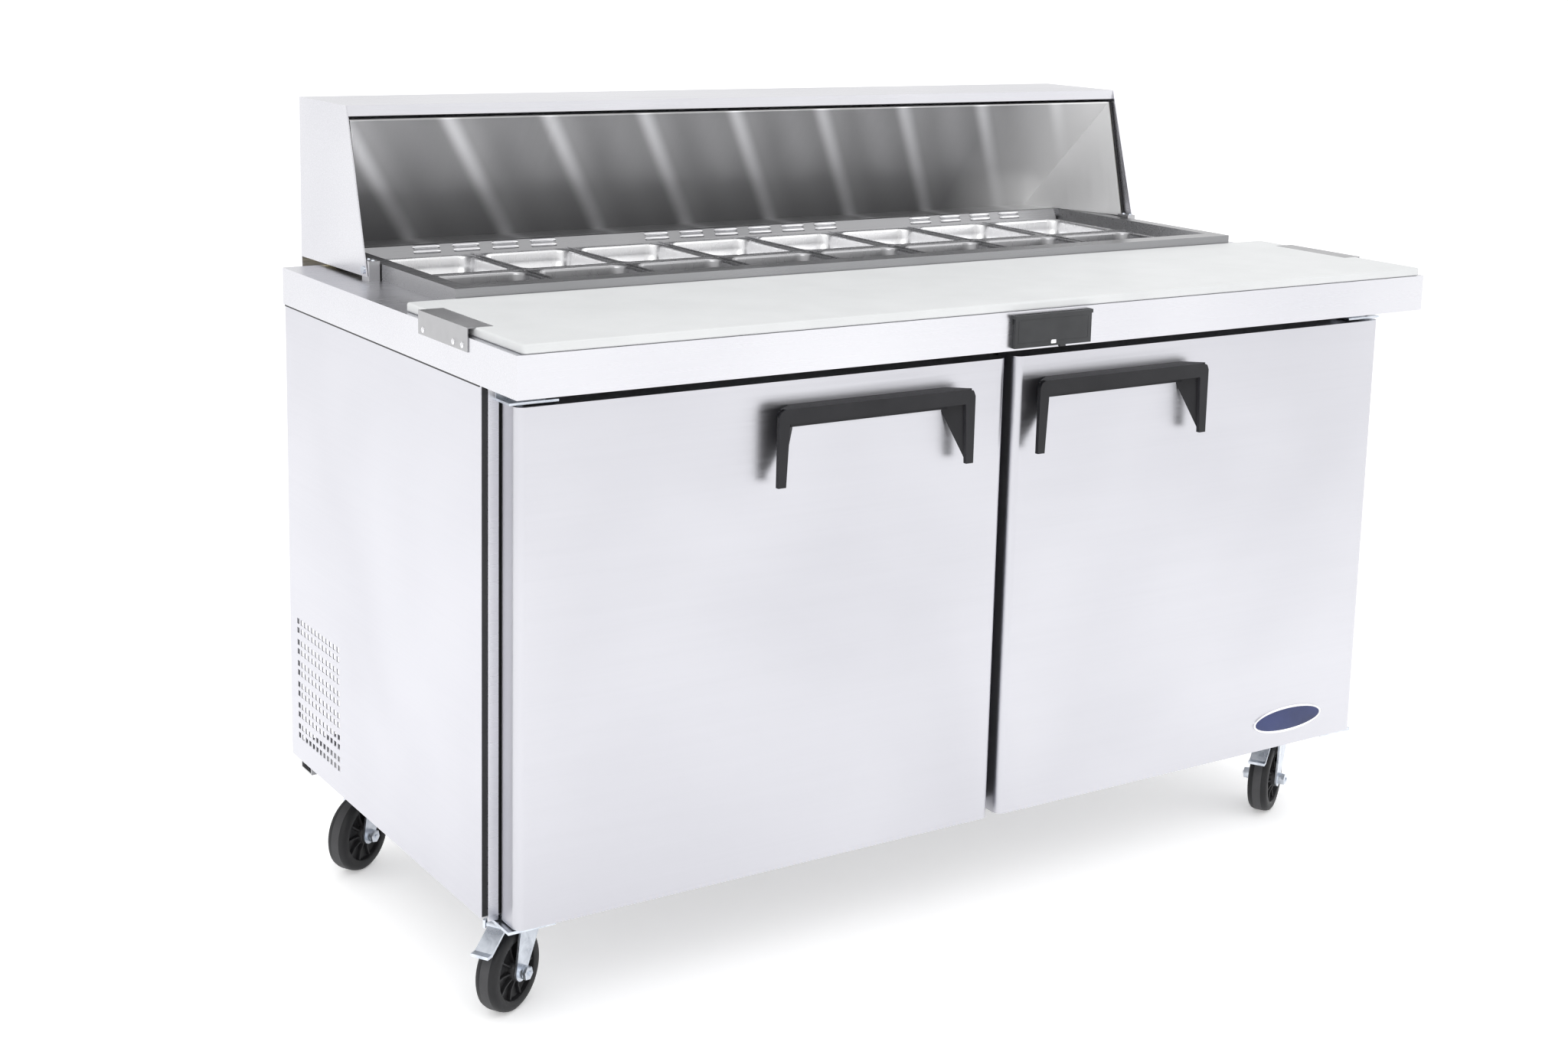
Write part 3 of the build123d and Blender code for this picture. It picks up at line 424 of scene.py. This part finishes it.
# ---------------------------------------------------------------- food pans
def pan_mesh():
    """Pressed food pan: rolled rim, rounded shoulders, tapering sides, dished floor."""
    mesh = bmesh.new()
    levels = [
        (77.0, 84.75, 8.0, 892.6), (78.0, 85.75, 9.0, 893.2), (78.25, 86.0, 9.2, 894.2),
        (77.9, 85.6, 9.0, 895.1), (77.0, 84.8, 8.4, 895.5), (74.2, 82.0, 14.0, 895.4),
        (72.6, 80.4, 20.0, 895.0), (71.6, 79.4, 21.0, 893.6), (71.2, 79.0, 21.0, 891.0),
        (70.2, 78.0, 21.0, 880.0), (69.6, 77.4, 21.0, 872.0), (69.1, 76.9, 21.0, 871.0),
        (63.6, 71.6, 21.0, 764.0), (62.4, 70.4, 20.0, 757.0), (58.6, 66.6, 17.0, 751.4),
        (53.0, 61.0, 12.0, 749.3), (20.0, 24.0, 6.0, 748.9), (2.0, 2.0, 0.8, 748.8)]
    rings = []
    for half_x, half_y, radius, z in levels:
        rings.append([Vector((a / 1000, b / 1000, z / 1000)) for a, b in rounded(half_x, half_y, radius, 7)])
    loft(mesh, rings, False, True)
    data = bpy.data.meshes.new("food_pan")
    bmesh.ops.recalc_face_normals(mesh, faces=mesh.faces)
    mesh.to_mesh(data)
    mesh.free()
    for poly in data.polygons:
        poly.use_smooth = True
    data.materials.append(PAN)
    return data


rear_pan_data = pan_mesh()
# the front row takes the darker copy: painted shade
front_pan_data = rear_pan_data.copy()
front_pan_data.materials[0] = PAN_FRONT_PAINTED_SHADE
for row, row_y, pan_data in (("front", 461.5, front_pan_data), ("rear", 642.5, rear_pan_data)):
    for number in range(1, 9):
        node = f"{row}_pan_{number}"
        pan = bpy.data.objects.new(f"{node}_pressed", pan_data)
        bpy.context.scene.collection.objects.link(pan)
        pan.location = at((number - 4.5) * PAN_PITCH, row_y, 0)
        shell = pan.modifiers.new("sheet", "SOLIDIFY")
        shell.thickness = 0.0007
        shell.offset = -1
        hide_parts(node)
        place(pan, node)


# ---------------------------------------------------------------- air slots behind the pans
def louvre_lips():
    """Pressed lips over the air slots, with rounded ends, in a brighter steel than their plate: painted
    highlight.
    """
    mesh = bmesh.new()
    up = Vector((0, 10, 18)).normalized()
    out = Vector((0, -18, 10)).normalized()
    for first_x, count in ((-571, 4), (-181, 6), (333, 4)):
        for index in range(count):
            x = first_x + index * 64
            for rise in (6.0, 12.5):
                low = 893 + rise + 2.8
                base = at(x, 731.4 + (low - 893) * 10 / 18, low)
                steps = 14
                rings = []
                for step in range(steps + 1):
                    u = step / steps
                    swell = math.sqrt(max(0.0, 1 - abs(2 * u - 1) ** 6))
                    spot = base + Vector((0.046 * u - 0.002, 0, 0))
                    height = 0.0022 * swell + 0.0001
                    ring = []
                    for turn in range(7):
                        a = math.pi * turn / 6
                        ring.append(spot + out * height * math.sin(a) - up * (0.0034 * swell * math.cos(a)))
                    rings.append(ring)
                loft(mesh, rings, True, True)
    # the lips take bright steel while the plate they are pressed from is dark: painted highlight along each
    # slot
    return place(new_object("louvre_lips", mesh, [BRIGHT]), "cabinet")


louvre_lips()


# ---------------------------------------------------------------- canopy trims
def canopy_trims():
    """Black seal along each raked end of the canopy."""
    for name, side in (("left", -1), ("right", 1)):
        mesh = bmesh.new()
        outline = [(614.5, 912.5), (661.2, 1104), (668, 1104), (621.5, 912.5)]
        strip(mesh, outline, side * 698.6, side * 702.3)
        place(new_object(f"canopy_seal_{name}", mesh, [GASKET]), "cabinet")


canopy_trims()


def canopy_jacket():
    """Sheet over the round back of the canopy's foam, and a sheet on each end."""
    arc = [math.radians(angle) for angle in (63, 50, 37, 24, 11)]
    outer = [(PIVOT_Y + 227.2 * math.cos(a), PIVOT_Z + 227.2 * math.sin(a)) for a in arc]
    inner = [(PIVOT_Y + 226.6 * math.cos(a), PIVOT_Z + 226.6 * math.sin(a)) for a in arc]
    mesh = bmesh.new()
    over = [(666, 1104.7)] + outer + [(826.7, 889.5)]
    under = [(826.1, 889.5)] + inner[::-1] + [(666, 1104.1)]
    strip(mesh, over + under, -700.6, 700.6)
    place(new_object("canopy_back_sheet", mesh, [STEEL_DULL]), "cabinet")
    for name, side in (("left", -1), ("right", 1)):
        mesh = bmesh.new()
        outline = [(617.2, 911.4), (664, 1104)] + inner + [(826, 889.2), (754.4, 889.2), (754.4, 911.4)]
        x0, x1 = sorted((side * 700.05, side * 700.55))
        strip(mesh, outline, x0, x1)
        place(new_object(f"canopy_end_{name}", mesh, [STEEL_DULL]), "cabinet")


def machine_lining():
    """Sheet over the foam in front of and above the machine compartment."""
    mesh = bmesh.new()
    outline = [(560.1, 157.2), (560.9, 157.2), (560.9, 397.1), (757, 397.1), (757, 397.9), (560.1, 397.9)]
    strip(mesh, outline, -759, 759)
    place(new_object("machine_lining", mesh, [STEEL_DULL]), "cabinet")


canopy_jacket()
machine_lining()


def frame_edges():
    """Steel edge strip on each outer stile, and a sealing bead under the worktop at each end."""
    for name, side in (("left", -1), ("right", 1)):
        mesh = bmesh.new()
        x0, x1 = sorted((side * 738, side * 752))
        strip(mesh, [(99.8, 150), (99.8, 830), (102, 830), (102, 150)], x0, x1)
        place(new_object(f"stile_strip_{name}", mesh, [STEEL]), "cabinet")
        mesh = bmesh.new()
        x0, x1 = sorted((side * 761, side * 762.4))
        strip(mesh, [(104, 831.6), (104, 834), (757, 834), (757, 831.6)], x0, x1)
        place(new_object(f"worktop_bead_{name}", mesh, [GASKET]), "cabinet")


frame_edges()


# ---------------------------------------------------------------- doors
def door_back_panel(word, x0, x1):
    """Raised inner panel of a door with rounded shoulders."""
    mesh = bmesh.new()
    middle_x = (x0 + x1) / 2
    half_x = (x1 - x0) / 2
    rings = []
    for inset, depth, radius in ((30, 96.8, 10), (33, 98.5, 12), (36, 104, 14), (39, 107, 15),
                                 (44, 108, 16), (70, 108, 20), (74, 106.5, 20), (78, 106, 20),
                                 (200, 106, 20)):
        ring = []
        for a, b in rounded(half_x - inset, 331 - inset, radius, 6):
            ring.append(at(middle_x + a, depth, 481 + b))
        rings.append(ring)
    loft(mesh, rings, False, True)
    return place(new_object(f"{word}_door_inner_panel", mesh, [LINING]), f"{word}_door")


def door_seal(word, x0, x1):
    """Magnetic gasket with a bellows section."""
    mesh = bmesh.new()
    middle_x = (x0 + x1) / 2
    half_x = (x1 - x0) / 2
    rings = []
    for inset, depth in ((12, 97), (12.6, 98.6), (13.8, 98.9), (12.4, 99.4), (12.2, 101), (13, 101.5),
                         (25, 101.5), (25.8, 101), (25.6, 99.4), (24.2, 98.9), (25.4, 98.6), (26, 97)):
        ring = []
        for a, b in rounded(half_x - inset, 331 - inset, 3, 3):
            ring.append(at(middle_x + a, depth, 481 + b))
        rings.append(ring)
    loft(mesh, rings)
    piece = place(new_object(f"{word}_door_seal", mesh, [GASKET]), f"{word}_door")
    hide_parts(f"{word}_door_gasket")
    return piece


for word, x0, x1 in (("left", -735, 4), ("right", 20, 735)):
    door_back_panel(word, x0, x1)
    door_seal(word, x0, x1)


def badge():
    """Plain oval badge: bright rim round a domed blue field."""
    rings = []
    for half_x, half_z, depth in ((72.5, 20.5, 55.2), (72.5, 20.5, 53.6), (71.5, 19.5, 53.0),
                                  (69.5, 17.5, 53.0), (68.8, 16.8, 53.5)):
        rings.append([at(590 + half_x * math.cos(t), depth, 193 + half_z * math.sin(t))
                      for t in [2 * math.pi * step / 64 for step in range(64)]])
    mesh = bmesh.new()
    loft(mesh, rings)
    field = []
    for share, depth in ((1.0, 53.5), (0.85, 53.1), (0.6, 52.8), (0.3, 52.65), (0.05, 52.6)):
        field.append([at(590 + 68.8 * share * math.cos(t), depth, 193 + 16.8 * share * math.sin(t))
                      for t in [2 * math.pi * step / 64 for step in range(64)]])
    loft(mesh, field, False, True, 1)
    return place(new_object("door_badge", mesh, [BRIGHT, BADGE_BLUE]), "right_door")


badge()


# ---------------------------------------------------------------- controller
def plate(mesh, x0, x1, z0, z1, y_back, y_front, radius, material=0):
    """A thin plate with rounded corners on an upright face."""
    rings = []
    for inset, depth in ((0, y_back), (0, y_front + 0.15), (0.25, y_front)):
        rings.append([at((x0 + x1) / 2 + a, depth, (z0 + z1) / 2 + b)
                      for a, b in rounded((x1 - x0) / 2 - inset, (z1 - z0) / 2 - inset, radius, 5)])
    loft(mesh, rings, False, True, material)


def controller_face():
    """Display window and four membrane keys under the flap."""
    mesh = bmesh.new()
    plate(mesh, -14, 38, 848, 874, -2.9, -3.3, 2.5, 1)
    for column in range(2):
        for line in range(2):
            x = 48 + column * 20
            z = 848 + line * 14
            plate(mesh, x, x + 15, z, z + 10, -2.9, -3.35, 3, 0)
    return place(new_object("controller_face", mesh, [SHELF, DISPLAY]), "cabinet")


def cover_trim():
    """Raised line round the flap and its bright finger tab."""
    mesh = bmesh.new()
    rings = []
    for inset, depth in ((5.6, -7.9), (5.6, -8.25), (6.3, -8.25), (6.3, -7.9)):
        rings.append([at(30 + a, depth, 860 + b) for a, b in rounded(66 - inset, 21.5 - inset, 1.5, 3)])
    loft(mesh, rings)
    plate(mesh, 26, 35, 841, 846, -7.9, -8.3, 1.2, 1)
    return place(new_object("cover_trim", mesh, [PLASTIC, BRIGHT]), "cover")


controller_face()
cover_trim()


# ---------------------------------------------------------------- casters
def wheel(corner):
    """Wheel with a crowned tyre, a worn tread band and a ribbed dished hub."""
    mesh = bmesh.new()
    centre = Vector((0, 0, 0))
    axis = Vector((0, 1, 0))
    lathe(mesh, [(41, -15.4), (46, -16), (50.5, -15.2), (53.3, -12.8), (54.6, -9), (55, -6.5)],
          centre, axis, 72, 0, False)
    lathe(mesh, [(55, -6.5), (55, 6.5)], centre, axis, 72, 1, False)
    lathe(mesh, [(55, 6.5), (54.6, 9), (53.3, 12.8), (50.5, 15.2), (46, 16), (41, 15.4)],
          centre, axis, 72, 0, False)
    for side in (-1, 1):
        lathe(mesh, [(41, 15.4 * side), (39.6, 14.2 * side), (38.4, 8.5 * side), (36.5, 7.2 * side),
                     (17, 7.2 * side), (14.6, 8.5 * side), (13.6, 17 * side), (12.8, 17.9 * side),
                     (6.1, 17.9 * side)], centre, axis, 60, 2, False)
        for spoke in range(10):
            a = 2 * math.pi * spoke / 10
            along = Vector((math.cos(a), 0, math.sin(a)))
            across = Vector((-math.sin(a), 0, math.cos(a)))
            rings = []
            for reach, high, half in ((13.8, 14.5, 1.3), (26, 11.5, 1.1), (38.6, 12.5, 1.3)):
                ring = []
                for s, h in ((-1.5, 7.0), (-1, high - 0.4), (-0.6, high),
                             (0.6, high), (1, high - 0.4), (1.5, 7.0)):
                    ring.append((along * reach + across * half * s) / 1000 + axis * side * h / 1000)
                rings.append(ring)
            loft(mesh, rings, True, True, 2)
    x, y = CASTERS[corner]
    turn = Matrix.Rotation(CASTER_TURN, 4, "Z")
    spot = Matrix.Translation(at(x, y, 0)) @ turn @ Matrix.Translation(Vector((-0.030, 0, 0.055)))
    bmesh.ops.transform(mesh, matrix=spot, verts=mesh.verts)
    obj = new_object(f"wheel_{corner}_moulded", mesh, [RUBBER, TREAD, HUB])
    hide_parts(f"caster_wheel_{corner}")
    return place(obj, f"wheel_{corner}")


def caster_hardware(corner):
    """Hex nuts on the axle, and the swivel's dust skirt."""
    mesh = bmesh.new()
    for side in (-1, 1):
        lathe(mesh, [(9.5, 28 * side), (9.5, 32.5 * side), (8.2, 33.6 * side), (3.4, 33.6 * side),
                     (3.2, 35.4 * side), (0.1, 35.8 * side)],
              Vector((-0.030, 0, 0.055)), Vector((0, 1, 0)), 6)
    lathe(mesh, [(30.2, 137.8), (31.6, 139), (31.6, 142.5), (30, 144.3), (26.5, 144.6)],
          Vector((0, 0, 0)), Vector((0, 0, 1)), 48, 0, False)
    x, y = CASTERS[corner]
    spot = Matrix.Translation(at(x, y, 0)) @ Matrix.Rotation(CASTER_TURN, 4, "Z")
    bmesh.ops.transform(mesh, matrix=spot, verts=mesh.verts)
    return place(new_object(f"caster_hardware_{corner}", mesh, [ZINC]), f"fork_{corner}")


for corner in CASTERS:
    wheel(corner)
    caster_hardware(corner)


# ---------------------------------------------------------------- machine compartment
def fan_guard():
    """Wire guard and shroud ring on the fan side of the condenser."""
    mesh = bmesh.new()
    centre = at(-514, 662, 268)
    lathe(mesh, [(84, -5), (84, 14), (87, 14), (87, -5)], centre, Vector((1, 0, 0)), 64, 0, False)
    for radius in (30, 46, 62, 78):
        lathe(mesh, [(radius - 0.9, 33), (radius, 33.9), (radius + 0.9, 33),
                     (radius, 32.1), (radius - 0.9, 33)],
              centre, Vector((1, 0, 0)), 48, 0, False)
    for spoke in range(4):
        a = math.radians(45 + 90 * spoke)
        outward = Vector((0, math.cos(a), math.sin(a)))
        lathe(mesh, [(1.2, 30), (1.2, 86)], centre + Vector((0.033, 0, 0)), outward, 10)
        lathe(mesh, [(1.2, 10), (1.2, 33)], centre + outward * 0.0845, Vector((1, 0, 0)), 10)
    return place(new_object("fan_guard", mesh, [PAINT]), "cabinet")


fan_guard()
pipes = {
    "suction_pipe": [(-300, 662, 358), (-300, 662, 380), (-200, 690, 386), (-60, 720, 386), (100, 735, 380)],
    "discharge_pipe": [(-368, 640, 250), (-400, 620, 250), (-440, 610, 330),
                       (-500, 610, 352), (-524, 620, 352)],
    "liquid_pipe": [(-524, 700, 190), (-480, 720, 180), (-430, 738, 200), (-200, 738, 300), (60, 738, 380)],
}
for name, route in pipes.items():
    place(tube(name, route, 4.0, COPPER), "cabinet")


def compressor_cap():
    """Terminal cover and a band round the compressor."""
    mesh = bmesh.new()
    band = [(71.5, 226), (72.6, 228), (72.6, 234), (71.5, 236)]
    lathe(mesh, band, at(-300, 662, 0), Vector((0, 0, 1)), 60, 0, False)
    rings = []
    for depth, inset in ((588, 0), (578, 0), (574, 4)):
        rings.append([at(-300 + a, depth, 240 + b) for a, b in rounded(30 - inset, 34 - inset, 6, 4)])
    loft(mesh, rings, True, True)
    return place(new_object("compressor_cap", mesh, [PAINT]), "cabinet")


compressor_cap()

# ---------------------------------------------------------------- screws and bolts
screw_set("hinge_screws", [((side * x, 98.9, 832), (0, -1, 0)) for side in (-1, 1) for x in (690, 709, 728)]
          + [((side * x, y, 142.9), (0, 0, -1)) for side in (-1, 1) for x in (688, 730) for y in (100, 112)],
          4.2, ZINC, "cabinet")
screw_set("pivot_screws", [((side * 695, y, 915), (0, 0, 1)) for side in (-1, 1) for y in (592, 608)],
          3.0, ZINC, "cabinet")
bolt_spots = [((side * 764.5, y, 876), (side, 0, 0)) for side in (-1, 1) for y in (146, 172, 262)]
screw_set("bracket_bolts", bolt_spots, 4.0, BRIGHT, "board")
back_screws = [((x, 758.9, z), (0, 1, 0)) for x in (-735, -420, -140, 140, 420, 735) for z in (166, 405, 820)]
screw_set("back_screws", back_screws, 3.6, ZINC, "cabinet")
for word, x in (("left_door", -226), ("right_door", 197.5)):
    spots = [((x + shift, 49.9, 764), (0, -1, 0)) for shift in (-120, 120)]
    screw_set(f"{word}_handle_screws", spots, 3.4, ZINC, word)


# ---------------------------------------------------------------- studio
def studio():
    """Pale floor, white surroundings and soft lights."""
    mesh = bmesh.new()
    half = 600.0  # metres, so the edge never shows
    mesh.faces.new([mesh.verts.new((x, y, -0.0005)) for x, y in
                    ((-half, -half), (half, -half), (half, half), (-half, half))])
    floor_mat, nodes, links, bsdf = shader(
        "studio_floor", (0.96, 0.96, 0.96), 0.75, 0.0, Emission_Strength=0.30)
    bsdf.inputs["Emission Color"].default_value = (1.0, 1.0, 1.0, 1)
    tone = noise(nodes, links, 3.0)
    floor_tint = tint(nodes, links, tone, (0.955, 0.955, 0.96), (0.965, 0.965, 0.965))
    links.new(floor_tint, bsdf.inputs["Base Color"])
    floor = new_object("studio_floor", mesh, [floor_mat], False)
    world = bpy.data.worlds.new("studio_world")
    world.use_nodes = True
    bpy.context.scene.world = world
    nodes = world.node_tree.nodes
    links = world.node_tree.links
    background = nodes["Background"]
    background.inputs["Strength"].default_value = 1.0
    coords = nodes.new("ShaderNodeTexCoord")
    split = nodes.new("ShaderNodeSeparateXYZ")
    ramp = nodes.new("ShaderNodeValToRGB")
    ramp.color_ramp.elements[0].position = 0.0
    ramp.color_ramp.elements[0].color = (1.0, 1.0, 1.0, 1)
    ramp.color_ramp.elements[1].position = 0.7
    ramp.color_ramp.elements[1].color = (1.0, 1.0, 1.0, 1)
    links.new(coords.outputs["Generated"], split.inputs["Vector"])
    links.new(split.outputs["Z"], ramp.inputs["Fac"])
    links.new(ramp.outputs["Color"], background.inputs["Color"])
    for name, spot, size, power, aim in (
            ("key", (-3.2, -3.4, 4.2), 3.0, 62, (0, 0, 0.6)),
            ("fill", (3.4, -3.0, 2.6), 2.6, 18, (0, 0, 0.6)),
            ("top", (0.2, 0.4, 4.6), 3.5, 40, (0, 0.1, 0.8))):
        lamp = bpy.data.lights.new(name, "AREA")
        lamp.size = size
        lamp.energy = power
        obj = bpy.data.objects.new(name, lamp)
        obj.location = spot
        obj.rotation_euler = (Vector(aim) - Vector(spot)).to_track_quat("-Z", "Y").to_euler()
        bpy.context.scene.collection.objects.link(obj)


def camera():
    """The camera view."""
    data = bpy.data.cameras.new("camera")
    data.sensor_width = 36.0
    data.lens = 50.392
    data.shift_y = -0.12
    data.clip_end = 2000.0
    obj = bpy.data.objects.new("camera", data)
    yaw = math.radians(33.073)
    pitch = math.radians(10.040)
    roll = math.radians(1.365)
    forward = Vector((math.sin(yaw) * math.cos(pitch), math.cos(yaw) * math.cos(pitch), -math.sin(pitch)))
    level = Vector((math.cos(yaw), -math.sin(yaw), 0))
    above = level.cross(forward)
    right = level * math.cos(roll) + above * math.sin(roll)
    up = above * math.cos(roll) - level * math.sin(roll)
    obj.matrix_world = Matrix.Translation((-1.85934, -2.66144, 1.35879)) @ Matrix(
        (right, up, -forward)).transposed().to_4x4()
    bpy.context.scene.collection.objects.link(obj)
    bpy.context.scene.camera = obj


studio()
camera()
bpy.context.scene.view_settings.view_transform = "Standard"
bpy.context.scene.view_settings.look = "None"
bpy.context.scene.view_settings.exposure = 0.0
